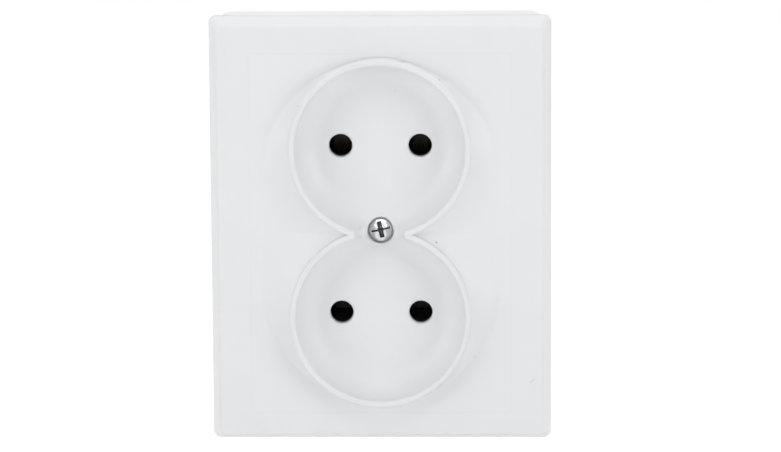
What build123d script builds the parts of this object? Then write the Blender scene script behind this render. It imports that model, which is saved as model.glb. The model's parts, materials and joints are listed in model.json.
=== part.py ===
"""Flush double wall socket: cover with two wells, rear frame, base, contacts, yoke and spreading claws.

Millimetres. X to the right, Y into the wall, Z up. The origin lies in the wall's surface,
midway between the two box screws. The front of the socket looks towards -Y.
"""

from build123d import *
import os
from math import asin, atan2, cos, pi, radians, sin, sqrt, tan

# Plug system
pin_pitch = 19.0
pin_hole_r = 2.8
pin_hole_chamfer = 0.25

# Cover: outer size at its rear edge, leaning side walls, flat face
plate_width = 81.4
plate_height = 102.8
plate_corner_r = 1.8
face_corner_r = 1.3
side_depth = 5.9
side_lean = 1.85
face_edge_r = 0.7
cover_wall = 2.0
face_stand_off = 14.3

# Wells in the cover, their shared raised rim and the low ridge between them
rim_r = 21.7
rim_overlap = 2.9
rim_land = 1.5
rim_rise = 4.0
rim_edge_r = 0.35
well_depth = 8.2
well_lean = 0.3
floor_fillet = 7.0
floor_wall = 2.2
cup_margin = 0.35
cup_fillet = 4.0
ridge_gap = 10.5
ridge_gap_lean = 1.2
ridge_width = 4.8
ridge_rise = 3.9
seat_clearance = 0.25
boss_r = 3.4

# Flare: the slope at both sides that climbs from a long round-ended outline on the face to the rim
flare_side_reach = 7.8
flare_end_inset = 0.5
flare_step = 1.0
flare_bite = 0.3
flare_sink = 0.03
flare_soft_share = 0.35
flare_shares = (0.0, 0.12, 0.24, 0.36, 0.6, 0.8, 1.0)
flare_points = 10

# Rear frame between the cover and the wall
frame_side_inset = 1.0
frame_end_inset = 0.1
frame_corner_r = 4.0
frame_wall = 1.8
frame_ledge = 6.0
frame_ledge_thick = 1.8
lip_rise = 1.6
lip_wall = 1.4
lip_clearance = 0.2

# Screw heads and threads
thread_clearance = 0.02
head_crown_share = 0.45
slot_cut = 0.9
slot_depth_share = 0.5
slot_overrun = 1.0
head_chamfer = 0.3

# Cover screw and its insert
cover_screw_r = 1.5
cover_screw_head_r = 2.9
cover_screw_head_h = 1.9
cover_screw_hole_r = 1.7
cover_screw_end_gap = 2.0
recess_arm = 2.0
recess_width = 1.0
recess_depth = 1.3
recess_turn = 12.0
insert_r = 3.0
insert_length = 9.0

# Contacts: a strip for each pole with two bent jaws behind each pin hole
strip_width = 7.0
strip_thick = 0.8
strip_y = 9.0
jaw_width = 5.5
jaw_throat = 1.95
jaw_root_inset = 0.1
jaw_setback = 1.0
jaw_mouth_length = 3.4
jaw_root_length = 4.0

# Base and the plate over its contacts
floor_gap = 0.3
contact_cover_thick = 2.0
funnel_edge = 0.6
pocket_end_clearance = 0.2
pocket_side_clearance = 0.3
pocket_side_wall = 1.6
pocket_end_wall = 1.2
front_corner_r = 3.0
base_shoulder = 1.3
base_depth = 12.6
base_chamfer = 0.8

# Terminals, two on each pole
terminal_pitch = 10.0
terminal_screw_r = 1.75
terminal_head_r = 2.9
terminal_head_h = 2.2
terminal_screw_reach = 3.0
clamp_size = 6.2
clamp_thick = 1.0
clamp_hole_clearance = 0.2
clamp_side_clearance = 0.2
wire_gap = 1.6
partition = 2.0
centre_wall = 6.4
chamber_wall = 1.6
chamber_end_room = 3.1
terminal_end_wall = 2.8
terminal_block_depth = 19.0
wire_notch = 3.6
rib_thick = 1.6
rib_reach = 4.2

# Yoke
yoke_thick = 1.2
yoke_slot_wall = 2.0
yoke_end_margin = 1.6
yoke_frame_gap = 1.5
window_clearance = 0.2
box_screw_pitch = 60.0
box_slot_r = 1.9
box_slot_length = 7.0
yoke_screw_land = 2.7
yoke_screw_edge = 2.1
yoke_screw_r = 1.25
yoke_screw_head_r = 2.2
yoke_screw_head_h = 1.5
yoke_screw_length = 9.0
yoke_hole_clearance = 0.15

# Claws: a bent steel lever on a pin, pushed by a half-round nut on a long screw
ear_half_width = 2.1
ear_base_gap = 0.5
claw_pivot_y = 5.6
claw_arm = 5.0
claw_sheet = 1.2
claw_half_width = 4.6
claw_web_start = 2.4
claw_web_end = 9.2
claw_web_back = -0.1
claw_eye_r = 2.0
claw_swing = 25.0
claw_pin_r = 1.0
claw_pin_clearance = 0.05
claw_side_gap = 0.25
claw_slot_clearance = 0.2
claw_screw_r = 1.5
claw_screw_head_r = 2.8
claw_screw_head_h = 1.9
claw_screw_seat_gap = 0.05
claw_screw_end_y = 15.0
nut_r = 2.6
nut_flat = 1.9
nut_gap = 0.15
nut_end_gap = 0.25

# Claw leg, seen along its pin with the pin's centre at (0, 0)
spur_tip = (9.6, 14.0)
spur_notch = (7.3, 11.4)
spur_second = (9.1, 10.4)
spur_root = (6.6, 8.2)
claw_heel = (6.0, 14.0)
claw_elbow = (5.8, 4.0)
claw_inner = (1.4, 6.0)

# Depths, from the front to the rear
face_y = -face_stand_off
cover_rear_y = face_y + side_depth
rim_y = face_y - rim_rise
floor_y = rim_y + well_depth
floor_back_y = floor_y + floor_wall
ridge_y = floor_y - ridge_rise
flare_top_y = rim_y + flare_step
contact_front_y = floor_back_y + floor_gap
base_front_y = contact_front_y + contact_cover_thick
insert_end_y = base_front_y + insert_length
strip_back_y = strip_y + strip_thick

# Places and sizes seen from the front
well_z = rim_r - rim_overlap / 2
rim_inner_r = rim_r - rim_land
floor_r = rim_inner_r - well_lean
flare_half_width = rim_r + flare_side_reach
flare_inner_r = rim_r - flare_bite
pin_x = pin_pitch / 2
pin_places = [(x, z) for x in (-pin_x, pin_x) for z in (-well_z, well_z)]
strip_half_height = well_z + jaw_width / 2
pocket_half_width = strip_width / 2 + pocket_side_clearance
pocket_half_height = strip_half_height + pocket_end_clearance
front_half_width = pin_x + pocket_half_width + pocket_side_wall
front_half_height = pocket_half_height + pocket_end_wall
base_half_width = front_half_width + base_shoulder
yoke_screw_z = front_half_height + window_clearance + yoke_screw_land
base_end_r = yoke_screw_z + yoke_screw_edge
yoke_half_height = base_end_r + yoke_end_margin
yoke_r = (box_screw_pitch + box_slot_length) / 2 + yoke_slot_wall
frame_half_width = plate_width / 2 - frame_side_inset
frame_half_height = plate_height / 2 - frame_end_inset
yoke_half_width = frame_half_width - frame_wall - yoke_frame_gap
claw_pivot_x = base_half_width + ear_base_gap + ear_half_width
claw_screw_x = claw_pivot_x + claw_arm

# Two depths are the same plane if they differ by less than this
same_plane = 0.01


def plan(y):
    """Plane parallel to the wall at depth y: its x is X, its y is Z, it looks to the front."""
    return Plane(origin=(0, y, 0), x_dir=(1, 0, 0), z_dir=(0, -1, 0))


def level(z):
    """Horizontal plane at height z: its x is X and its y is Y."""
    return Plane(origin=(0, 0, z), x_dir=(1, 0, 0), z_dir=(0, 0, 1))


def block(sketch, y_from, y_to):
    """Straight solid over a sketch, from the rear depth y_from forward to y_to."""
    return extrude(plan(y_from) * sketch, amount=y_from - y_to)


def barrel(r, y_from, y_to, x=0.0, z=0.0):
    """Round bar along Y."""
    return block(Pos(x, z) * Circle(r), y_from, y_to)


def turned(points):
    """Solid turned about Y from an outline of (radius, y) points."""
    return revolve(make_face(Polyline(*points, close=True)), axis=Axis.Y)


def edges_at(part, y):
    """Edges of a part that lie wholly in the plane at depth y."""
    return [e for e in part.edges() if all(abs(e.position_at(t).Y - y) < same_plane for t in (0, 0.5, 1))]


def mouths_at(part, y, r):
    """Edges of the round holes of radius r in the plane at depth y."""
    rounds = [e for e in edges_at(part, y) if e.geom_type == GeomType.CIRCLE]
    return [e for e in rounds if abs(e.radius - r) < same_plane]


def domed_screw(shank_r, head_r, head_h, head_y, end_y):
    """Screw along Y with a domed head in front of head_y."""
    crown = head_h * head_crown_share
    rim = head_y - head_h + crown
    top = head_y - head_h
    dome_r = (head_r**2 + crown**2) / (2 * crown)
    half_way = (head_r / 2, top + dome_r - sqrt(dome_r**2 - head_r**2 / 4))
    outline = Polyline((0, end_y), (shank_r, end_y), (shank_r, head_y), (head_r, head_y), (head_r, rim))
    dome = ThreePointArc((head_r, rim), half_way, (0, top))
    spine = Line((0, top), (0, end_y))
    return revolve(make_face([outline, dome, spine]), axis=Axis.Y)


def slotted_screw(shank_r, head_r, head_h, head_y, end_y, heading=-1):
    """Screw along Y with a flat chamfered head and a straight drive slot across it."""
    top = head_y + heading * head_h
    shoulder = top - heading * head_chamfer
    head_outline = [(head_r, head_y), (head_r, shoulder), (head_r - head_chamfer, top), (0, top)]
    screw = turned([(0, end_y), (shank_r, end_y), (shank_r, head_y)] + head_outline)
    bottom = top - heading * head_h * slot_depth_share
    slot = Rectangle(2 * (head_r + slot_overrun), slot_cut)
    return screw - block(slot, max(top, bottom), min(top, bottom))


def stadium_point(turn):
    """Point of the flare's outer outline, seen from the upper well's centre at an angle."""
    end_z = well_z + rim_r - flare_end_inset - flare_half_width
    side_z = well_z + flare_half_width * tan(turn)
    if turn < 0 and side_z <= end_z:
        return flare_half_width, side_z
    rise = well_z - end_z
    reach = sqrt(flare_half_width**2 - (rise * cos(turn)) ** 2) - rise * sin(turn)
    return reach * cos(turn), well_z + reach * sin(turn)


def flare_rise(share):
    """Share of the flare's height at a share of the way in: a soft start, then a straight slope."""
    climb = share - flare_soft_share / 2
    if share < flare_soft_share:
        climb = share**2 / (2 * flare_soft_share)
    return climb / (1 - flare_soft_share / 2)


def flare_section(share):
    """Outline at a share of the way from the outer outline (0) to inside the figure-eight rim (1)."""
    notch_turn = -asin(well_z / flare_inner_r)
    side_turn = -atan2(well_z, flare_half_width)
    quarter = []
    for i in range(flare_points):
        rim_turn = notch_turn + (pi / 2 - notch_turn) * i / (flare_points - 1)
        out_turn = rim_turn if rim_turn > 0 else rim_turn * side_turn / notch_turn
        out_x, out_z = stadium_point(out_turn)
        x = out_x + share * (flare_inner_r * cos(rim_turn) - out_x)
        z = out_z + share * (well_z + flare_inner_r * sin(rim_turn) - out_z)
        quarter.append((x, z))
    start = (-share * sin(notch_turn), 1 - share + share * cos(notch_turn))
    curves = []
    for sx, sz in ((1, 1), (-1, 1), (-1, -1), (1, -1)):
        points = [(sx * x, sz * z) for x, z in quarter]
        tangents = [(sx * start[0], sz * start[1]), (-sx, 0)]
        if sx * sz < 0:
            points = points[::-1]
            tangents = [(-tx, -tz) for tx, tz in tangents[::-1]]
        curves.append(Spline(*points, tangents=tangents))
    foot_y = face_y + flare_sink
    depth = foot_y - (foot_y - flare_top_y) * flare_rise(share)
    return plan(depth) * make_face(curves)


def plate_outline(inset, corner_r):
    """Rounded outline of the cover, set in from its outer size."""
    return RectangleRounded(plate_width - 2 * inset, plate_height - 2 * inset, corner_r)


def rim_corner(r, inward):
    """Quarter-round edge of the rim at radius r: from its land to its wall, which lies at r."""
    land_r = r + inward * rim_edge_r
    swing = rim_edge_r * (1 - sqrt(0.5))
    half_way = (r + inward * swing, rim_y + swing)
    return ThreePointArc((land_r, rim_y), half_way, (r, rim_y + rim_edge_r))


def make_well():
    """Space of one well about the origin: a rounded mouth, almost upright walls and a wide floor fillet."""
    mouth = rim_corner(rim_inner_r, 1)
    wall = Polyline(mouth @ 1, (floor_r, floor_y), (0, floor_y), (0, rim_y), mouth @ 0)
    bowl = revolve(make_face([mouth, wall]), axis=Axis.Y)
    return fillet(edges_at(bowl, floor_y), floor_fillet)


def make_cup(r):
    """Outside of one well about the origin: a rounded rim of radius r and the back of the bowl."""
    edge = rim_corner(r, -1)
    wall_y = face_y + cover_wall
    back = (r - well_lean, floor_back_y)
    outside = Polyline(edge @ 1, (r, wall_y), back, (0, floor_back_y), (0, rim_y), edge @ 0)
    cup = revolve(make_face([edge, outside]), axis=Axis.Y)
    return fillet(edges_at(cup, floor_back_y), cup_fillet)


def make_ridge_cut():
    """Space above the ridge: a gap in the wall between the wells whose ends lean outwards."""
    top = ridge_gap / 2 + ridge_gap_lean / 2
    bottom = ridge_gap / 2 - ridge_gap_lean / 2
    outline = Polyline((-top, rim_y), (top, rim_y), (bottom, ridge_y), (-bottom, ridge_y), close=True)
    return extrude(level(-ridge_width / 2) * make_face(outline), amount=ridge_width)


def make_front_cover():
    """White cover: leaning sides, flared figure-eight rim, two bowl-shaped wells, ridge and pin holes."""
    rear_outline = plan(cover_rear_y) * plate_outline(0, plate_corner_r)
    face_outline = plan(face_y) * plate_outline(side_lean, face_corner_r)
    shell = loft([rear_outline, face_outline], ruled=True)
    shell = fillet(edges_at(shell, face_y), face_edge_r)
    flare = loft([flare_section(share) for share in flare_shares])
    shell += flare
    inside_lean = side_lean * (side_depth - cover_wall) / side_depth
    rear_inside = plan(cover_rear_y) * plate_outline(cover_wall, face_edge_r)
    front_inside = plan(face_y + cover_wall) * plate_outline(cover_wall + inside_lean, face_edge_r)
    hollow = loft([rear_inside, front_inside], ruled=True) + Pos(0, cover_wall, 0) * flare
    well_places = [Pos(0, 0, -well_z), Pos(0, 0, well_z)]
    for place in well_places:
        hollow -= place * make_cup(rim_r + cup_margin)
    cover = shell - hollow
    for place in well_places:
        cover += place * make_cup(rim_r)
        cover -= place * make_well()
    cover -= make_ridge_cut()
    cover -= barrel(cover_screw_head_r + seat_clearance, floor_y, rim_y)
    cover += barrel(boss_r, contact_front_y, floor_y)
    cover -= barrel(cover_screw_hole_r, contact_front_y, floor_y)
    for x, z in pin_places:
        cover -= barrel(pin_hole_r, floor_back_y, floor_y, x, z)
    return chamfer(mouths_at(cover, floor_y, pin_hole_r), pin_hole_chamfer)


def make_rear_frame():
    """White frame that carries the cover's edge off the wall, with a lip inside the cover."""
    width = 2 * frame_half_width
    height = 2 * frame_half_height
    frame = block(RectangleRounded(width, height, frame_corner_r), 0, cover_rear_y)
    inside_r = frame_corner_r - frame_wall
    inside = RectangleRounded(width - 2 * frame_wall, height - 2 * frame_wall, inside_r)
    frame -= block(inside, 0, cover_rear_y + frame_ledge_thick)
    lip_inset = cover_wall + side_lean * lip_rise / side_depth + lip_clearance
    lip = block(plate_outline(lip_inset, inside_r), cover_rear_y, cover_rear_y - lip_rise)
    lip -= block(plate_outline(lip_inset + lip_wall, inside_r), cover_rear_y, cover_rear_y - lip_rise)
    opening = plate_outline(cover_wall + frame_ledge, frame_corner_r)
    return frame + lip - block(opening, 0, cover_rear_y)


def make_cover_screw():
    """Screw between the wells with a cross recess, sunk in the ridge, in the base's insert."""
    end_y = insert_end_y - cover_screw_end_gap
    screw = domed_screw(cover_screw_r, cover_screw_head_r, cover_screw_head_h, floor_y, end_y)
    top_y = floor_y - cover_screw_head_h
    cross = Rectangle(2 * recess_arm, recess_width) + Rectangle(recess_width, 2 * recess_arm)
    return screw - block(Rot(0, 0, recess_turn) * cross, top_y + recess_depth, top_y)


def make_screw_insert():
    """Brass threaded insert in the middle of the base."""
    insert = barrel(insert_r, insert_end_y, base_front_y)
    return insert - barrel(cover_screw_r + thread_clearance, insert_end_y, base_front_y)


def front_outline():
    """Outline of the part of the base that stands through the yoke's window."""
    return RectangleRounded(2 * front_half_width, 2 * front_half_height, front_corner_r)


def make_contact_cover():
    """Dark plate on the base's front with a funnel over each contact."""
    plate = block(front_outline(), base_front_y, contact_front_y)
    plate -= barrel(cover_screw_hole_r, base_front_y, contact_front_y)
    for x, z in pin_places:
        plate -= barrel(pin_hole_r, base_front_y, contact_front_y, x, z)
    return chamfer(mouths_at(plate, contact_front_y, pin_hole_r), funnel_edge)


def make_socket_base():
    """Dark moulded base: contact pockets at the front, terminal chambers at the rear."""
    shape = Circle(base_end_r) & Rectangle(2 * base_half_width, 2 * base_end_r)
    base = block(shape, base_depth, 0)
    base = chamfer(edges_at(base, base_depth), base_chamfer)
    window_size = clamp_size + 2 * clamp_side_clearance
    chamber_half_height = (terminal_pitch + clamp_size) / 2 + chamber_end_room
    block_half_height = chamber_half_height + terminal_end_wall
    rear = Rectangle(2 * base_half_width, 2 * block_half_height)
    base += block(rear, terminal_block_depth, base_depth - base_chamfer)
    base += block(front_outline(), 0, base_front_y)
    base -= barrel(insert_r, insert_end_y, base_front_y)
    chamber_outer_x = base_half_width - chamber_wall
    chamber_inner_x = centre_wall / 2
    chamber_width = chamber_outer_x - chamber_inner_x
    chamber_x = (chamber_outer_x + chamber_inner_x) / 2
    for side in (-1, 1):
        pocket = Pos(side * pin_x, 0) * Rectangle(2 * pocket_half_width, 2 * pocket_half_height)
        base -= block(pocket, strip_back_y, base_front_y)
        chamber = Pos(side * chamber_x, 0) * Rectangle(chamber_width, 2 * chamber_half_height)
        base -= block(chamber, terminal_block_depth, strip_back_y + partition)
        window = Pos(side * pin_x, 0) * Rectangle(window_size, terminal_pitch + window_size)
        base -= block(window, strip_back_y + partition, strip_back_y)
        notch = Pos(side * pin_x, 0) * Rectangle(wire_notch, 2 * block_half_height)
        base -= block(notch, terminal_block_depth, terminal_block_depth - rib_reach)
        rib = Pos(side * chamber_x, 0) * Rectangle(chamber_width, rib_thick)
        base += block(rib, terminal_block_depth, terminal_block_depth - rib_reach)
    for end in (-1, 1):
        base -= barrel(yoke_screw_r, yoke_screw_length, 0, 0, end * yoke_screw_z)
    return base


def jaw_outline(side):
    """Bent spring jaw in plan: root on the strip, throat that grips the pin, flared mouth."""
    mouth = strip_width / 2 - strip_thick
    root = mouth - jaw_root_inset
    tip_y = base_front_y + jaw_setback
    bend_y = strip_y - jaw_root_length
    inner = [(root, strip_y), (root, bend_y), (jaw_throat, tip_y + jaw_mouth_length), (mouth, tip_y)]
    outer = [(x + strip_thick, y) for x, y in inner[::-1]]
    return make_face(Polyline(*[(side * x, y) for x, y in inner + outer], close=True))


def terminal_places(side):
    """Centres of the two terminals of one pole."""
    return [Pos(side * pin_x, 0, z) for z in (-terminal_pitch / 2, terminal_pitch / 2)]


def make_contact(side):
    """Brass strip of one pole with a sprung clip behind each of its two pin holes."""
    strip = Pos(side * pin_x, 0) * Rectangle(strip_width, 2 * strip_half_height)
    contact = block(strip, strip_back_y, strip_y)
    for z in (-well_z, well_z):
        for jaw in (-1, 1):
            leaf = extrude(level(z - jaw_width / 2) * jaw_outline(jaw), amount=jaw_width)
            contact += Pos(side * pin_x, 0, 0) * leaf
    for place in terminal_places(side):
        contact -= place * barrel(terminal_screw_r + thread_clearance, strip_back_y, strip_y)
    return contact


def make_terminal_screws(side):
    """Two slotted screws that enter the strip from the rear."""
    seat_y = strip_back_y + wire_gap + clamp_thick
    end_y = strip_y - terminal_screw_reach
    screw = slotted_screw(terminal_screw_r, terminal_head_r, terminal_head_h, seat_y, end_y, heading=1)
    return Compound(children=[place * screw for place in terminal_places(side)])


def make_clamp_plates(side):
    """Two square plates under the terminal screws' heads."""
    front_y = strip_back_y + wire_gap
    plate = block(Rectangle(clamp_size, clamp_size), front_y + clamp_thick, front_y)
    plate -= barrel(terminal_screw_r + clamp_hole_clearance, front_y + clamp_thick, front_y)
    return Compound(children=[place * plate for place in terminal_places(side)])


def make_mounting_yoke():
    """Steel support plate with a window for the base, box-screw slots and claw ears."""
    plate = Circle(yoke_r) & Rectangle(2 * yoke_half_width, 2 * yoke_half_height)
    window_w = 2 * (front_half_width + window_clearance)
    window_h = 2 * (front_half_height + window_clearance)
    plate -= RectangleRounded(window_w, window_h, front_corner_r + window_clearance)
    slot = SlotOverall(box_slot_length, 2 * box_slot_r)
    for side in (-1, 1):
        plate -= Pos(side * box_screw_pitch / 2, 0) * slot
        plate -= Pos(side * claw_screw_x, 0) * Circle(claw_screw_r + yoke_hole_clearance)
        plate -= Pos(0, side * yoke_screw_z) * Circle(yoke_screw_r + yoke_hole_clearance)
    yoke = block(plate, 0, -yoke_thick)
    ear_shape = Pos(claw_pivot_x, claw_pivot_y / 2) * Rectangle(2 * ear_half_width, claw_pivot_y)
    ear_shape += Pos(claw_pivot_x, claw_pivot_y) * Circle(ear_half_width)
    ear_shape -= Pos(claw_pivot_x, claw_pivot_y) * Circle(claw_pin_r)
    ear_z = claw_half_width + claw_side_gap
    for z in (-ear_z - yoke_thick, ear_z):
        ear = extrude(level(z) * ear_shape, amount=yoke_thick)
        yoke += ear
        yoke += mirror(ear, about=Plane.YZ)
    return yoke


def make_yoke_screws():
    """Two screws that hold the yoke to the base."""
    sizes = (yoke_screw_r, yoke_screw_head_r, yoke_screw_head_h)
    screw = slotted_screw(*sizes, -yoke_thick, yoke_screw_length)
    return Compound(children=[Pos(0, 0, end * yoke_screw_z) * screw for end in (-1, 1)])


def make_claw():
    """Right claw at rest: a web in front and two spurred legs, bent from one sheet."""
    front = claw_web_back - claw_sheet
    eye_side = radians(150)
    legs = Polyline(
        (0, front),
        (claw_web_end, front),
        (claw_web_end, claw_web_back + claw_sheet),
        claw_elbow,
        spur_root,
        spur_second,
        spur_notch,
        spur_tip,
        claw_heel,
        claw_inner,
        (claw_eye_r * cos(eye_side), claw_eye_r * sin(eye_side)),
        (-claw_eye_r, 0),
        close=True,
    )
    leg_shape = make_face(legs) + Circle(claw_eye_r)
    leg_shape -= Circle(claw_pin_r + claw_pin_clearance)
    claw = extrude(level(claw_half_width - claw_sheet) * leg_shape, amount=claw_sheet)
    claw += extrude(level(-claw_half_width) * leg_shape, amount=claw_sheet)
    web_length = claw_web_end - claw_web_start
    web = Pos(claw_web_start + web_length / 2, 0) * Rectangle(web_length, 2 * claw_half_width)
    claw += block(web, claw_web_back, front)
    swing = radians(claw_swing)
    slot_start = claw_arm - claw_screw_r - claw_slot_clearance
    slot_end = (claw_arm + claw_screw_r) / cos(swing) - front * tan(swing) + claw_slot_clearance
    slot_width = 2 * (claw_screw_r + claw_slot_clearance)
    slot = Pos((slot_start + slot_end) / 2, 0) * SlotOverall(slot_end - slot_start, slot_width)
    claw -= block(slot, claw_web_back, front)
    return Pos(claw_pivot_x, claw_pivot_y, 0) * claw


def make_claw_nut():
    """Right claw nut at rest: half-round bar across the screw, flat at its rear."""
    half_length = claw_half_width - claw_sheet - nut_end_gap
    section = Circle(nut_r) & Pos(0, nut_flat - nut_r) * Rectangle(2 * nut_r, 2 * nut_r)
    nut = extrude(level(-half_length) * section, amount=2 * half_length)
    nut -= barrel(claw_screw_r + thread_clearance, nut_r, -nut_r)
    return Pos(claw_screw_x, claw_pivot_y + claw_web_back + nut_r + nut_gap, 0) * nut


def make_claw_screw():
    """Right claw screw: head in front of the yoke, thread through web and nut."""
    head_y = -yoke_thick - claw_screw_seat_gap
    screw = slotted_screw(claw_screw_r, claw_screw_head_r, claw_screw_head_h, head_y, claw_screw_end_y)
    return Pos(claw_screw_x, 0, 0) * screw


def make_claw_pin():
    """Right claw pin, held in the yoke's two ears."""
    half_length = claw_half_width + claw_side_gap + yoke_thick
    pin = extrude(level(-half_length) * Circle(claw_pin_r), amount=2 * half_length)
    return Pos(claw_pivot_x, claw_pivot_y, 0) * pin


def make_nodes():
    """Every piece of the socket under its node name."""
    nodes = {
        "front_cover": make_front_cover(),
        "rear_frame": make_rear_frame(),
        "cover_screw": make_cover_screw(),
        "screw_insert": make_screw_insert(),
        "contact_cover": make_contact_cover(),
        "socket_base": make_socket_base(),
        "mounting_yoke": make_mounting_yoke(),
        "yoke_screws": make_yoke_screws(),
    }
    for name, side in (("left", -1), ("right", 1)):
        nodes[name + "_contact"] = make_contact(side)
        nodes[name + "_terminal_screws"] = make_terminal_screws(side)
        nodes[name + "_clamp_plates"] = make_clamp_plates(side)
    right_side = {
        "claw": make_claw(),
        "claw_nut": make_claw_nut(),
        "claw_screw": make_claw_screw(),
        "claw_pin": make_claw_pin(),
    }
    for name, piece in right_side.items():
        nodes["right_" + name] = piece
        nodes["left_" + name] = mirror(piece, about=Plane.YZ)
    return nodes


os.makedirs("parts", exist_ok=True)
for node_name, node_part in make_nodes().items():
    export_step(node_part, f"parts/{node_name}.step")
    print(node_name, round(node_part.volume, 1))
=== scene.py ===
# %% [markdown]
# # A double wall socket, dressed for its picture
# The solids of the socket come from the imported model, in metres, with X to the right, Y into the
# wall and Z up. This script leaves them where they are. It gives every piece its finish, winds the
# threads that the plain solids lack, and sets up the light and the camera.

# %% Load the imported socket
import json

import bmesh
import bpy
import numpy as np
from mathutils import Matrix, Vector


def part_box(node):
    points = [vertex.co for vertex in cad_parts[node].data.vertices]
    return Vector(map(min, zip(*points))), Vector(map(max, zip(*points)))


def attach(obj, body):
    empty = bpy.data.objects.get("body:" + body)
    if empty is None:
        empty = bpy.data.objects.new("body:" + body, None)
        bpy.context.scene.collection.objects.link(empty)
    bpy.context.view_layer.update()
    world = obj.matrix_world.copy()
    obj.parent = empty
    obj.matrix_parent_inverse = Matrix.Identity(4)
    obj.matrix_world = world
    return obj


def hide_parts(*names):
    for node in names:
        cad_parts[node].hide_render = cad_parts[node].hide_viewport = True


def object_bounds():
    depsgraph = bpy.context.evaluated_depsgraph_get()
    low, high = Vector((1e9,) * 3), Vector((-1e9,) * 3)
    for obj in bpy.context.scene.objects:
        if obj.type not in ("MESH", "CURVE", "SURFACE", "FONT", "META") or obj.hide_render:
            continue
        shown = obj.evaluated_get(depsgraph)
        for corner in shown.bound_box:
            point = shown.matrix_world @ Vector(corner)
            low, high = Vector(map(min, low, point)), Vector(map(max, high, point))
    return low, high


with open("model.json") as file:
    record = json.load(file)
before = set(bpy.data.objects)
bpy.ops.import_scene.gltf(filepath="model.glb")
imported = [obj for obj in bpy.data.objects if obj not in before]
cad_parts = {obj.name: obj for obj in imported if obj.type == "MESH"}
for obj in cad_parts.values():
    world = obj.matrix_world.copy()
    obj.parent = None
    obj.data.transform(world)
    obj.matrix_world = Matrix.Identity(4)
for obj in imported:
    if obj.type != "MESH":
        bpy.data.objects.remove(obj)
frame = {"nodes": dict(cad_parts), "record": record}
cad_box = [list(corner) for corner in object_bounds()]
mm = 0.001
print(len(frame["nodes"]), "nodes, box in mm", np.round(np.array(cad_box) / mm, 2).tolist())

# %% [markdown]
# ## The camera
# The picture was taken from a little above and very slightly to the right, with a long lens. Turn,
# tilt, roll, distance and focal length were found by fitting the four pin holes, the rims and the
# cover's edges. A plain camera does it without any lens shift: it only stands a little beside the
# socket's middle line, so the socket lands left of the picture's middle.

# %% Place the camera
picture_width = 781
turn, tilt, roll = np.radians([1.5224, 10.1248, 0.3439])
stand_off = 961.8 * mm
focal_pixels = 3977.6
step_right, step_up = 2.04 * mm, -1.03 * mm

back = np.array([np.sin(turn) * np.cos(tilt), -np.cos(turn) * np.cos(tilt), np.sin(tilt)])
level_right = np.array([np.cos(turn), np.sin(turn), 0.0])
level_up = np.cross(back, level_right)
rolled_right = level_right * np.cos(roll) - level_up * np.sin(roll)
rolled_up = level_right * np.sin(roll) + level_up * np.cos(roll)

lens = bpy.data.cameras.new("camera")
lens.sensor_width = 36
lens.lens = focal_pixels * lens.sensor_width / picture_width
lens.clip_start, lens.clip_end = 0.05, 20
camera = bpy.data.objects.new("camera", lens)
stance = Matrix(np.stack([rolled_right, rolled_up, back]).T.tolist()).to_4x4()
stance.translation = Vector(back * stand_off + level_right * step_right + level_up * step_up)
camera.matrix_world = stance
bpy.context.collection.objects.link(camera)
bpy.context.scene.camera = camera
print("lens", round(lens.lens, 2), "mm, camera at", np.round(stance.translation, 4).tolist())

# %% [markdown]
# ## Small helpers for node materials
# Every finish below is a Principled shader with a few texture nodes in front of it. The patterns read
# Object coordinates, so they keep their real size in millimetres and stay with the piece when it
# moves. Nodes are wordy in Python, so a few helpers keep the finishes short: one starts a material,
# one adds a node with its sockets filled in, and one does a sum.

# %% Make the helpers for nodes
def start_finish(name):
    """An empty material with its node tree and its Principled shader."""
    finish = bpy.data.materials.new(name)
    finish.use_nodes = True
    return finish, finish.node_tree, finish.node_tree.nodes["Principled BSDF"]


def add(tree, kind, links=(), settings=(), **values):
    """A node of that kind.

    links joins outputs to its sockets, settings sets its own properties, and values fills sockets by name.
    """
    node = tree.nodes.new(kind)
    for key, value in dict(settings).items():
        setattr(node, key, value)
    for key, value in values.items():
        node.inputs[key.replace("_", " ")].default_value = value
    for key, output in dict(links).items():
        tree.links.new(output, node.inputs[key])
    return node


def maths(tree, operation, *inputs):
    """The result of a Math node. Each input is a number or another node's output."""
    node = add(tree, "ShaderNodeMath", settings={"operation": operation})
    for socket, value in zip(node.inputs, inputs):
        if isinstance(value, bpy.types.NodeSocket):
            tree.links.new(value, socket)
        else:
            socket.default_value = value
    return node.outputs[0]


# %% [markdown]
# ## Patterns
# Plastic and metal are never quite even, and a noise is the plainest way to say so. One helper makes
# a noise whose lumps have a size in metres, and one carries its values, most of which lie near the
# middle, to the range that a colour or a roughness needs. Two more blend colours by such a value, and
# dent the surface by it. The last one also rounds sharp edges in the shading.

# %% Make the helpers for patterns
noise_low, noise_high = 0.3, 0.7
edge_samples = 6


def grain(tree, size, detail=2.0, stretch=(1, 1, 1)):
    """A noise whose lumps are about size metres across, stretched by that much along X, Y and Z."""
    place = add(tree, "ShaderNodeTexCoord").outputs["Object"]
    squeeze = tuple(1 / (size * part) for part in stretch)
    scaled = add(tree, "ShaderNodeMapping", {"Vector": place}, Scale=squeeze).outputs["Vector"]
    return add(tree, "ShaderNodeTexNoise", {"Vector": scaled}, Scale=1.0, Detail=detail).outputs["Fac"]


def spread(tree, fac, low, high, start=noise_low, end=noise_high):
    """The value fac carried from start..end, where most of a noise lies, to low..high."""
    return add(tree, "ShaderNodeMapRange", {"Value": fac}, From_Min=start, From_Max=end,
               To_Min=low, To_Max=high).outputs["Result"]


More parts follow.
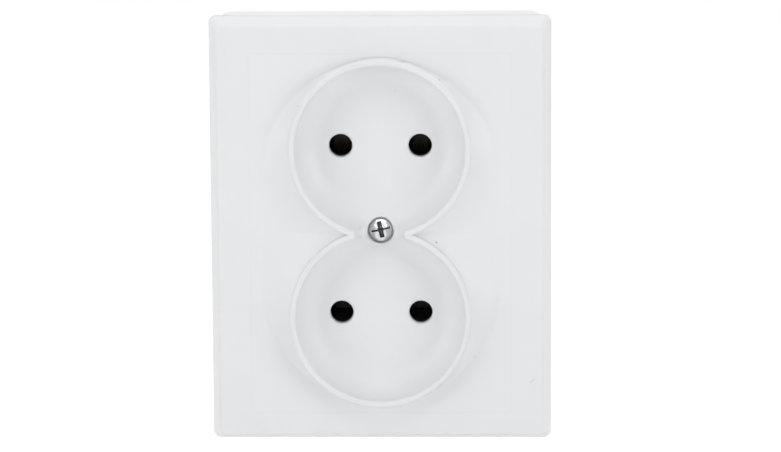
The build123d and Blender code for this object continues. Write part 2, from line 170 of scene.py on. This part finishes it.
def blend_colours(tree, fac, first, second):
    """A colour between first and second, by fac from 0 to 1."""
    mix = add(tree, "ShaderNodeMix", settings={"data_type": "RGBA"})
    # A Mix node has sockets for numbers, vectors and colours: 6 and 7 take the colours, 2 gives the result.
    tree.links.new(fac, mix.inputs[0])
    for socket, colour in ((mix.inputs[6], first), (mix.inputs[7], second)):
        if isinstance(colour, bpy.types.NodeSocket):
            tree.links.new(colour, socket)
        else:
            socket.default_value = (*colour, 1)
    return mix.outputs[2]


def bump(tree, shader, height, depth, edge):
    """Lets height, from 0 to 1, dent the surface by depth metres, and softens edges to a radius of edge."""
    rounded = add(tree, "ShaderNodeBevel", settings={"samples": edge_samples}, Radius=edge).outputs["Normal"]
    dented = add(tree, "ShaderNodeBump", {"Height": height, "Normal": rounded}, Strength=1.0, Distance=depth)
    tree.links.new(dented.outputs["Normal"], shader.inputs["Normal"])


print("noises are read from", noise_low, "to", noise_high)

# %% [markdown]
# ## White cover plastic
# The cover is moulded from a hard white resin with a satin gloss: nearly neutral, very slightly cool,
# with a faint unevenness where the resin flowed and a soft skin texture from the mould. A flat white
# would look like paper. Here a broad noise shifts the white by two parts in a hundred, a finer one
# varies the gloss, and a third one dents the skin by a few thousandths of a millimetre. The mould
# left no sharp edges, so the shading rounds them a little.

# %% White resin
def white_resin(name, dark, light, smooth, rough):
    """A satin white: colour from a 15 mm noise, roughness from a 4 mm noise, skin from a 0.5 mm noise."""
    finish, tree, shader = start_finish(name)
    flow = spread(tree, grain(tree, size=15 * mm), low=0, high=1)
    gloss = spread(tree, grain(tree, size=4 * mm), low=smooth, high=rough)
    tree.links.new(blend_colours(tree, flow, dark, light), shader.inputs["Base Color"])
    tree.links.new(gloss, shader.inputs["Roughness"])
    bump(tree, shader, grain(tree, size=0.5 * mm, detail=3), depth=0.004 * mm, edge=0.7 * mm)
    return finish


cover_plastic = white_resin("white_cover_resin", dark=(0.785, 0.79, 0.80), light=(0.80, 0.805, 0.812),
                            smooth=0.40, rough=0.47)
frame_plastic = white_resin("white_frame_resin", dark=(0.80, 0.805, 0.812), light=(0.815, 0.82, 0.828),
                            smooth=0.42, rough=0.49)
print("finishes", cover_plastic.name, frame_plastic.name)

# %% [markdown]
# ## Marks on the cover
# The cover is nearly new, but the picture shows a few dark specks and one short scuff near the lower
# right corner. Each mark is a small oval: a Mapping node brings its centre to the origin and its half
# axes to 1, and the length of the result is below 1 inside the oval. A ray from the front finds how
# deep the cover lies there, so that a mark on the rim doesn't run down its walls. A speck is given by
# its X and Z in millimetres and by how dark it is, the scuff also by its half axes and by its slant
# in degrees.

# %% Mark the cover
speck_r = 0.22 * mm
specks = [(13.4, -2.0, 0.75), (22.4, -30.3, 0.22), (14.28, 36.85, 0.35), (-19.15, 30.75, 0.3),
          (3.6, 33.5, 0.16)]
scuff = (36.2, -36.2, 0.9 * mm, 0.25 * mm, 40, 0.16)
marks = [(x, z, speck_r, speck_r, 0, darkness) for x, z, darkness in specks] + [scuff]
mark_half_depth = 0.6 * mm
mark_core, mark_fringe = 0.3, 1.2
ray_start_y = -100 * mm

tree = cover_plastic.node_tree
place = add(tree, "ShaderNodeTexCoord").outputs["Object"]
cover = frame["nodes"]["front_cover"].evaluated_get(bpy.context.evaluated_depsgraph_get())
soiled = 0.0
for x, z, half_length, half_width, slant, darkness in marks:
    spot = cover.ray_cast(Vector((x * mm, ray_start_y, z * mm)), Vector((0, 1, 0)))[1]
    print("mark at", np.round(np.array(spot) / mm, 2).tolist())
    oval = add(tree, "ShaderNodeMapping", {"Vector": place}, {"vector_type": "TEXTURE"}, Location=spot,
               Rotation=(0, -np.radians(slant), 0), Scale=(half_length, mark_half_depth, half_width))
    away = add(tree, "ShaderNodeVectorMath", {0: oval.outputs[0]}, {"operation": "LENGTH"}).outputs["Value"]
    mark = spread(tree, away, low=darkness, high=0, start=mark_core, end=mark_fringe)
    soiled = maths(tree, "MAXIMUM", mark, soiled)

# %% [markdown]
# ## The painted crease line
# Round the wells runs a hair-fine rectangle of painted shade, where the flare meets the face. It is
# a line of constant distance: the larger of how far a point lies beyond the half width and beyond
# the half height is zero on it. The line darkens the clean white a little, and the marks lie on
# top of both.

# %% Paint the crease shade and lay the marks on it
crease_half_width = 31.1 * mm
crease_half_height = 43.45 * mm
crease_middle_z = -0.55 * mm
line_core, line_fringe = 0.05 * mm, 0.3 * mm
crease_shade_darkness = 0.02
black = (0.0, 0.0, 0.0)
mark_brown = (0.06, 0.055, 0.05)

axes = add(tree, "ShaderNodeSeparateXYZ", {"Vector": place}).outputs
past_sides = maths(tree, "SUBTRACT", maths(tree, "ABSOLUTE", axes["X"]), crease_half_width)
centred_z = maths(tree, "SUBTRACT", axes["Z"], crease_middle_z)
past_ends = maths(tree, "SUBTRACT", maths(tree, "ABSOLUTE", centred_z), crease_half_height)
from_line = maths(tree, "ABSOLUTE", maths(tree, "MAXIMUM", past_sides, past_ends))
# Painted shade: a thin, slightly darker line along the crease round the wells.
painted_crease_shade = spread(tree, from_line, low=crease_shade_darkness, high=0, start=line_core, end=line_fringe)
shader = tree.nodes["Principled BSDF"]
clean = shader.inputs["Base Color"].links[0].from_socket
crease_shaded = blend_colours(tree, painted_crease_shade, clean, black)
tree.links.new(blend_colours(tree, soiled, crease_shaded, mark_brown), shader.inputs["Base Color"])
# The mould line that this prints is the painted crease shade.
print(len(marks), "marks and a mould line on the cover")

# %% [markdown]
# ## Dark base plastic
# The base and the plate over the contacts are pressed from a dark, heat-proof resin with filler in
# it. Its surface is dull and finely speckled. A noise of mottles mixes two near blacks, one of grains
# varies the roughness, and a finer one dents the skin.

# %% Dark pressed resin
base_plastic, tree, shader = start_finish("dark_resin")
deep_black, grey_black = (0.016, 0.016, 0.017), (0.032, 0.032, 0.034)
mottle = spread(tree, grain(tree, size=3 * mm, detail=4), low=0, high=1)
speckle = spread(tree, grain(tree, size=0.6 * mm, detail=3), low=0.42, high=0.6)
tree.links.new(blend_colours(tree, mottle, deep_black, grey_black), shader.inputs["Base Color"])
tree.links.new(speckle, shader.inputs["Roughness"])
bump(tree, shader, grain(tree, size=0.35 * mm, detail=3), depth=0.01 * mm, edge=0.3 * mm)
print("finish", base_plastic.name)

# %% [markdown]
# ## Plated steel and brass
# The yoke and most screws are steel with a thin zinc plating: grey, slightly blue, with a fine crystal
# grain and a cloudy gloss. The claws, their screws, nuts and pins carry a warmer, duller plating. The
# contacts are rolled brass with a fine grain along the strip. One function makes all three from two
# tints, a roughness range and the stretch of the rolling grain.

# %% Metals
def plated(name, dark, light, smooth, rough, stretch=(1, 1, 1)):
    """A metal: tint from a 5 mm cloud, roughness and dents from a stretched 0.4 mm grain."""
    finish, tree, shader = start_finish(name)
    cloud = spread(tree, grain(tree, size=5 * mm, detail=4), low=0, high=1)
    lines = grain(tree, size=0.4 * mm, detail=3, stretch=stretch)
    tree.links.new(blend_colours(tree, cloud, dark, light), shader.inputs["Base Color"])
    tree.links.new(spread(tree, lines, low=smooth, high=rough), shader.inputs["Roughness"])
    shader.inputs["Metallic"].default_value = 1
    bump(tree, shader, lines, depth=0.004 * mm, edge=0.12 * mm)
    return finish


zinc_steel = plated("zinc_plating", dark=(0.60, 0.61, 0.63), light=(0.72, 0.73, 0.74),
                    smooth=0.22, rough=0.34)
claw_steel = plated("warm_plating", dark=(0.52, 0.50, 0.44), light=(0.66, 0.64, 0.58),
                    smooth=0.26, rough=0.42)
brass = plated("rolled_brass", dark=(0.66, 0.46, 0.20), light=(0.78, 0.57, 0.28),
               smooth=0.22, rough=0.36, stretch=(1, 1, 8))
print("finishes", zinc_steel.name, claw_steel.name, brass.name)

# %% [markdown]
# ## Painted shade on the jaws
# Seen through the pin holes the contacts are almost black, so the jaws are painted nearly black as
# painted shade, while the side that looks to the terminals stays bright. Depth decides between the
# two, so the Y of the Object coordinates blends the brass into the painted shade towards the front.

# %% Paint shade on the contacts
shade_full_y, shade_none_y = 9.2 * mm, 9.7 * mm
hole_shade_share = 0.985
hole_shade_black = (0.024, 0.025, 0.026)
tree = brass.node_tree
shader = tree.nodes["Principled BSDF"]
place = add(tree, "ShaderNodeTexCoord").outputs["Object"]
depth = add(tree, "ShaderNodeSeparateXYZ", {"Vector": place}).outputs["Y"]
# Painted shade: brass in front of the given depth turns nearly black, standing in for shade in the holes.
hole_shade = spread(tree, depth, low=hole_shade_share, high=0, start=shade_full_y, end=shade_none_y)
clean = shader.inputs["Base Color"].links[0].from_socket
tree.links.new(blend_colours(tree, hole_shade, clean, hole_shade_black), shader.inputs["Base Color"])
print("soot on", brass.name, "in front of", shade_none_y / mm, "mm")

# %% [markdown]
# ## Finishes onto the solids
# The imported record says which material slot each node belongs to. A table gives the finish for each
# slot, so one loop dresses all the solids.

# %% Dress the solids
slot_of = {row["node"]: row["material_slot"] for row in frame["record"]["subparts"]}
finish_of = {"cover_plastic": cover_plastic, "frame_plastic": frame_plastic, "base_plastic": base_plastic,
             "zinc_steel": zinc_steel, "claw_steel": claw_steel, "brass": brass}
for node_name, part in frame["nodes"].items():
    part.data.materials.clear()
    part.data.materials.append(finish_of[slot_of[node_name]])
print({slot: list(slot_of.values()).count(slot) for slot in finish_of})

# %% [markdown]
# ## Surfaces from arrays
# The screws need threads, which the plain solids lack, and drive recesses whose walls taper. Each is
# a surface with two parameters: a row along its profile and a column round its axis. numpy works out
# all points of such a grid at once, and the corners of its faces follow from their rows and columns.

# %% Make the helpers for grids
columns = 192
angle = np.linspace(0, 2 * np.pi, columns, endpoint=False)[None, :]


def ring_quads(rows):
    """Corner numbers of the quads of a grid with that many rows, whose last column meets the first."""
    row, column = np.meshgrid(np.arange(rows - 1), np.arange(columns), indexing="ij")
    beside = (column + 1) % columns
    near, far = row * columns, (row + 1) * columns
    return np.stack([near + column, near + beside, far + beside, far + column], -1).reshape(-1, 4)


def round_grid(radius, depth, x, z):
    """Points at radius and depth, both rows x columns, about the line along Y through x and z."""
    radius, depth = np.broadcast_arrays(radius + 0 * angle, depth + 0 * angle)
    return np.stack([x + radius * np.cos(angle), depth, z + radius * np.sin(angle)], -1)


print("grids have", columns, "columns")

# %% [markdown]
# ## From grids to a piece
# A screw is a head and a shank, two closed grids in one mesh. The rows at their poles have all points
# in one place, so these are welded, and then all faces are turned outwards. Edges flatter than 40
# degrees shade smoothly. Last, the piece is hung on its body, so that it moves with it, and takes the
# place of its node.

# %% Make the helper for pieces
weld_distance = 1e-7
smooth_limit = np.radians(40)


def make_piece(node_name, body, grids, finish, painted_shade=None):
    """One mesh from closed grids that stands for a node, with its poles welded and its faces outwards.

    The last argument, if given, holds the painted shade of each point of all grids, kept as a mesh attribute
    of that name.
    """
    starts = np.cumsum([0] + [grid.shape[0] * columns for grid in grids[:-1]])
    points = np.concatenate([grid.reshape(-1, 3) for grid in grids])
    quads = np.concatenate([ring_quads(len(grid)) + first for grid, first in zip(grids, starts)])
    name = node_name + "_skin"
    mesh = bpy.data.meshes.new(name)
    mesh.from_pydata(points.tolist(), [], quads.tolist())
    if painted_shade is not None:
        mesh.attributes.new("painted_shade", "FLOAT", "POINT").data.foreach_set("value", painted_shade.ravel())
    weld = bmesh.new()
    weld.from_mesh(mesh)
    bmesh.ops.remove_doubles(weld, verts=weld.verts, dist=weld_distance)
    bmesh.ops.recalc_face_normals(weld, faces=weld.faces)
    weld.to_mesh(mesh)
    weld.free()
    mesh.shade_smooth()
    mesh.set_sharp_from_angle(angle=smooth_limit)
    mesh.materials.append(finish)
    piece = bpy.data.objects.new(name, mesh)
    bpy.context.collection.objects.link(piece)
    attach(piece, body)
    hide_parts(node_name)
    print(name, "has", len(mesh.loops) - 2 * len(mesh.polygons), "triangles")


# %% [markdown]
# ## Threads
# A screw thread is one ridge wound round the shank. Unrolled, it is a row of slanted waves: the height
# of the ridge depends only on how far a point lies along the axis and, for each turn round it, on one
# pitch more. So the radius is the root plus a flattened wave of (length / pitch + turn / full turn).
# The sign of the turn follows the way that the shank points, so that every thread is right-handed. At
# both ends the groove fades out, and the tip is chamfered.

# %% Wind a thread
rows_per_pitch = 10
flank_slope, root_level = 2.2, 0.6
groove_pitches = 0.6
chamfer_pitches = 0.8
tip_share = 0.72


def threaded_shank(crest, pitch, start, end, x, z):
    """Closed shank from depth start to its tip at end, with a thread of that crest radius and pitch.

    Radius: the crest less a groove 0.6 pitch deep, which a clipped triangle wave of the phase fills up.
    The phase is the length in pitches and the share of a turn, added or taken off by the shank's way.
    """
    way = np.sign(end - start)
    length = abs(end - start)
    along = np.linspace(0, length, int(length / pitch * rows_per_pitch))[:, None]
    phase = along / pitch + way * angle / (2 * np.pi)
    triangle = np.abs(2 * (phase - np.floor(phase)) - 1)
    ridge = np.clip(flank_slope * triangle - root_level, 0, 1)
    fade = np.clip(along / pitch, 0, 1) * np.clip((length - along) / pitch - 0.5, 0, 1)
    radius = crest - groove_pitches * pitch * (1 - ridge) * fade
    chamfer = np.clip((length - along) / (chamfer_pitches * pitch), 0, 1)
    radius = radius * (tip_share + (1 - tip_share) * chamfer)
    body = round_grid(radius, start + way * along, x, z)
    first = round_grid(np.zeros((1, 1)), np.full((1, 1), start), x, z)
    last = round_grid(np.zeros((1, 1)), np.full((1, 1), end), x, z)
    return np.concatenate([first, body, last])


print("threads have", rows_per_pitch, "rows for each pitch")

# %% [markdown]
# ## Drive recesses
# A screwdriver bites into a cross or a slot in the head. Cutting meshes for it leaves untidy faces, so
# the recess is taken off the crown as a depth: for every point of the crown the distance to the
# recess's outline gives how far down its tapering walls have come.

# %% Make the helpers for recesses
cross_slope, slot_slope = 3.0, 12.0


def cross_depth(u, v, level_arm, level_width, upright_arm, upright_width, depth):
    """Depth of a cross recess at u, v: inside one of two bars, walls fall three times as far as they run."""
    level_bar = np.maximum(np.abs(u) - level_arm, np.abs(v) - level_width / 2)
    upright_bar = np.maximum(np.abs(u) - upright_width / 2, np.abs(v) - upright_arm)
    inside = np.clip(-np.minimum(level_bar, upright_bar), 0, None)
    return np.clip(cross_slope * inside, 0, depth)


def slot_depth(v, width, depth):
    """Depth of a straight slot at v from its middle line: 12 times the way in from its wall, up to depth."""
    return np.clip(slot_slope * (width / 2 - np.abs(v)), 0, depth)


print("walls fall", cross_slope, "to 1 in a cross and", slot_slope, "to 1 in a slot")

# %% [markdown]
# ## Screw heads
# A head is turned on a lathe, and its grid follows the tool: from its middle out over the crown, round
# the edge, down its side and back in underneath.

# %% Turn the heads
crown_rows, edge_rows = 72, 7
front, rear = -1, 1


def screw_head(head_r, height, crown, edge, seat, facing, x, z, recess):
    """Closed head on the plane at depth seat, facing the front or the rear, with its recess.

    The crown falls with the square of the radius, and the edge is a quarter circle.
    """
    crown_r = head_r - edge
    top_r = crown_r * np.linspace(0, 1, crown_rows)[:, None]
    top_h = height - crown * (top_r / crown_r) ** 2
    top_h = top_h - recess(top_r * np.cos(angle), top_r * np.sin(angle))
    bend = np.linspace(0, np.pi / 2, edge_rows)[1:, None]
    shoulder = height - crown
    edge_r = crown_r + edge * np.sin(bend)
    edge_h = shoulder - edge * (1 - np.cos(bend))
    side_r = np.array([[head_r], [head_r], [0.0]])
    side_h = np.array([[0.5 * (shoulder - edge)], [0.0], [0.0]])
    radius = np.concatenate([top_r, edge_r, side_r])
    rise = np.concatenate([top_h, edge_h + 0 * angle, side_h + 0 * angle])
    return round_grid(radius, seat + facing * rise, x, z)


print("heads have", crown_rows, "rows over the crown and", edge_rows, "round the edge")

# %% [markdown]
# ## Cover screw
# The one screw that shows sits between the wells: a low dome of plated steel with a worn cross recess,
# turned a little from upright. Its shank reaches down to the insert in the base. The cross is a long
# thin arm nearly level and a shorter, wider one upright, with a small cone in the middle. The box of
# the node gives the head's radius, its front and the tip of the shank.

# %% Shape the cover screw
low, high = (np.array(corner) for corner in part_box("cover_screw"))
edge_gap = 0.15 * mm
head_r = (high[0] - low[0]) / 2 - edge_gap
head_height = 1.9 * mm
cover_seat = low[1] + head_height
shank_overlap = 0.2 * mm
recess_turn = np.radians(12)
recess_rise = 0.15 * mm
recess_depth = 1.0 * mm
cone_depth, cone_slope = 1.3 * mm, 1.6


def cover_recess(across, upward):
    """Depth of the turned cross: the deeper of its two bars and of a cone in their middle."""
    raised = upward - recess_rise
    u = across * np.cos(recess_turn) + raised * np.sin(recess_turn)
    v = raised * np.cos(recess_turn) - across * np.sin(recess_turn)
    bars = cross_depth(u, v, level_arm=2.3 * mm, level_width=0.5 * mm, upright_arm=2.0 * mm,
                       upright_width=1.1 * mm, depth=recess_depth)
    cone = np.clip(cone_depth - cone_slope * np.hypot(u, v), 0, None)
    return np.maximum(bars, cone)


head = screw_head(head_r, head_height, crown=0.85 * mm, edge=0.2 * mm, seat=cover_seat, facing=front,
                  x=0, z=0, recess=cover_recess)
shank = threaded_shank(crest=1.5 * mm, pitch=0.5 * mm, start=cover_seat - shank_overlap, end=high[1],
                       x=0, z=0)
print("cover screw", round(2 * head_r / mm, 2), "mm across, grids", head.shape, shank.shape)

# %% [markdown]
# ## Painted shade on the cover screw
# The recess and the gap round the head are painted dark as painted shade. So each point of the mesh
# keeps how much painted shade lies on it: on the crown by how deep the recess is there, and at the
# head's edge a little, as a painted shadow of the gap. An attribute on the mesh carries that value
# to the finish of this screw, which darkens the plating by it.

# %% Paint shade on the cover screw and make it
recess_shade_cap, edge_shadow_share = 0.92, 0.35
seat_margin = 0.3 * mm
edge_shadow_width = 0.25 * mm
screw_shade_black = (0.035, 0.036, 0.04)

across, depth, upward = np.moveaxis(head, -1, 0)
# Painted shade: the recess darkens by its depth, and the head's edge by its nearness to the gap.
inside = np.clip(cover_recess(across, upward) / recess_depth, 0, recess_shade_cap)
inside = np.where(depth < cover_seat - seat_margin, inside, 0)
at_edge = np.clip((np.hypot(across, upward) - head_r + edge_shadow_width) / edge_shadow_width, 0, 1)
painted_shade = np.concatenate([np.maximum(inside, edge_shadow_share * at_edge).ravel(), np.zeros(shank[..., 0].size)])

zinc_with_painted_shade = plated("zinc_with_painted_shade", dark=(0.66, 0.67, 0.69), light=(0.76, 0.77, 0.78), smooth=0.18, rough=0.28)
tree = zinc_with_painted_shade.node_tree
shader = tree.nodes["Principled BSDF"]
shade_share = add(tree, "ShaderNodeAttribute", settings={"attribute_name": "painted_shade"}).outputs["Fac"]
clean = shader.inputs["Base Color"].links[0].from_socket
tree.links.new(blend_colours(tree, shade_share, clean, screw_shade_black), shader.inputs["Base Color"])
make_piece("cover_screw", "socket", [head, shank], zinc_with_painted_shade, painted_shade)

# %% [markdown]
# ## Slotted screws
# The terminal screws and the claw screws have flat heads with a straight slot. A box that holds one
# screw, or several in a row upwards, gives the head's radius, the middle line and both ends. So one
# function makes all of them from that box, the way the head looks and a few sizes.

# %% Make the helper for slotted screws
slot_width, slot_floor = 0.9 * mm, 1.1 * mm


def drive_slot(across, upward):
    """A straight level slot, 0.9 mm wide and 1.1 mm deep."""
    return slot_depth(upward, slot_width, slot_floor)


def slotted_screw(low, high, z, facing, head_height, crest, pitch):
    """The grids of a head and a threaded shank at the height z, between the front and the rear of a box."""
    top, tip = (low[1], high[1]) if facing == front else (high[1], low[1])
    middle_x = (low[0] + high[0]) / 2
    seat = top - facing * head_height
    head = screw_head((high[0] - low[0]) / 2, head_height, crown=0.05 * mm, edge=0.3 * mm, seat=seat,
                      facing=facing, x=middle_x, z=z, recess=drive_slot)
    shank = threaded_shank(crest, pitch, seat + facing * shank_overlap, tip, middle_x, z)
    return [head, shank]


print("slots", slot_width / mm, "mm wide and", slot_floor / mm, "mm deep")

# %% [markdown]
# ## Terminal screws
# Behind, each pole has two screws that press the wires under their clamp plates. The places come from
# the box of their node: two screws one above the other, heads to the rear.

# %% Make the terminal screws
for side in ("left", "right"):
    node_name = side + "_terminal_screws"
    low, high = (np.array(corner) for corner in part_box(node_name))
    head_r = (high[0] - low[0]) / 2
    grids = []
    for z in (low[2] + head_r, high[2] - head_r):
        grids += slotted_screw(low, high, z, facing=rear, head_height=2.2 * mm, crest=1.75 * mm,
                               pitch=0.6 * mm)
    make_piece(node_name, "socket", grids, zinc_steel)

# %% [markdown]
# ## Claw screws
# A long screw on each side draws its nut forward and so spreads the claw. Its thread shows behind the
# yoke, and turns with the screw when the claw is set. The pitch is the half millimetre that its nut
# travels in one turn.

# %% Make the claw screws
for side in ("left", "right"):
    node_name = side + "_claw_screw"
    low, high = (np.array(corner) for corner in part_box(node_name))
    grids = slotted_screw(low, high, z=0, facing=front, head_height=1.9 * mm, crest=1.5 * mm, pitch=0.5 * mm)
    make_piece(node_name, node_name, grids, claw_steel)

# %% [markdown]
# ## Floor
# A wall socket hangs clear of the ground, so a wide pale floor lies a little below it and runs on as
# the background. In the picture it is plain white, so the camera, mirrors and glass see it glow at a
# strength of nearly 1, and a share of the plain lit floor is added on top, so that it still shows the
# socket's shadow. All other light meets an ordinary pale floor.

# %% Lay the floor
def seen_directly(tree):
    """1 for rays from the camera, from a mirror or through glass, 0 for all light on its way."""
    ray = add(tree, "ShaderNodeLightPath").outputs
    mirrored = maths(tree, "MAXIMUM", ray["Is Glossy Ray"], ray["Is Transmission Ray"])
    return maths(tree, "MAXIMUM", ray["Is Camera Ray"], mirrored)


floor_half = 6.0
floor_gap = 40 * mm
floor_z = cad_box[0][2] - floor_gap
floor_mesh = bpy.data.meshes.new("floor")
floor_mesh.from_pydata([(-floor_half, -floor_half, floor_z), (floor_half, -floor_half, floor_z),
                        (floor_half, floor_half, floor_z), (-floor_half, floor_half, floor_z)],
                       [], [(0, 1, 2, 3)])
floor = bpy.data.objects.new("floor", floor_mesh)
bpy.context.collection.objects.link(floor)

floor_finish, tree, shader = start_finish("floor_white")
shader.inputs["Base Color"].default_value = (0.86, 0.86, 0.86, 1)
shader.inputs["Roughness"].default_value = 0.9
shader.inputs["Specular IOR Level"].default_value = 0.0
glow = add(tree, "ShaderNodeEmission", Strength=0.88)
shadowed = add(tree, "ShaderNodeBsdfDiffuse", Color=(0.2, 0.2, 0.2, 1))
both = add(tree, "ShaderNodeAddShader", {0: glow.outputs[0], 1: shadowed.outputs[0]})
choice = add(tree, "ShaderNodeMixShader", {0: seen_directly(tree), 1: shader.outputs[0], 2: both.outputs[0]})
tree.links.new(choice.outputs[0], tree.nodes["Material Output"].inputs["Surface"])
floor_mesh.materials.append(floor_finish)
print("floor at", round(floor_z / mm, 2), "mm")

# %% [markdown]
# ## The world
# The photograph has very even light. The socket's side walls are as bright as the face, because the
# white background behind the socket lights them. So the world is bright behind and dark in front, with
# a short soft step between the two. The camera, mirrors and glass see it as plain white.

# %% Light the world
front_level, rear_level = 0.03, 0.85
step_half = 0.1
world = bpy.data.worlds.new("tent")
world.use_nodes = True
bpy.context.scene.world = world
tree = world.node_tree
tent = tree.nodes["Background"]
direction = add(tree, "ShaderNodeTexCoord").outputs["Generated"]
rearward = add(tree, "ShaderNodeSeparateXYZ", {"Vector": direction}).outputs["Y"]
level = spread(tree, rearward, low=front_level, high=rear_level, start=-step_half, end=step_half)
tree.links.new(level, tent.inputs["Color"])
white = add(tree, "ShaderNodeBackground", Color=(1, 1, 1, 1), Strength=1.0)
choice = add(tree, "ShaderNodeMixShader", {0: seen_directly(tree), 1: tent.outputs[0], 2: white.outputs[0]})
tree.links.new(choice.outputs[0], tree.nodes["World Output"].inputs["Surface"])
print("world from", front_level, "in front to", rear_level, "behind")

# %% [markdown]
# ## Lamps
# In the photograph the face is a little brighter at the top, slopes that look sideways are a little
# darker, and the parts of the wells that look down are darkest. Four soft lamps give that: a wide one
# high above, a pair at the sides and a weak one beside the camera. Their levels were fitted to the
# picture, lamp by lamp.

# %% Hang the lamps
def soft_lamp(name, place, size, power):
    """A square area lamp of that size at place, facing the socket's middle."""
    light = bpy.data.lights.new(name, "AREA")
    light.size = size
    light.energy = power
    lamp = bpy.data.objects.new(name, light)
    lamp.location = place
    lamp.rotation_euler = (-Vector(place)).to_track_quat("-Z", "Y").to_euler()
    bpy.context.collection.objects.link(lamp)
    return lamp


lamps = [
    soft_lamp("top_lamp", place=(0.0, -0.3, 1.2), size=1.6, power=10.8),
    soft_lamp("front_lamp", place=(0.0, -1.2, 0.15), size=0.5, power=1.2),
    soft_lamp("left_lamp", place=(-0.96, -0.72, 0.25), size=0.6, power=4.2),
    soft_lamp("right_lamp", place=(0.96, -0.72, 0.25), size=0.6, power=4.2),
]
print("lamps", {lamp.name: lamp.data.energy for lamp in lamps})

# %% [markdown]
# ## The end
# The view is plain, without any tone curve, so that a colour shows as it is written.

# %% Finish the view
bpy.context.scene.view_settings.view_transform = "Standard"
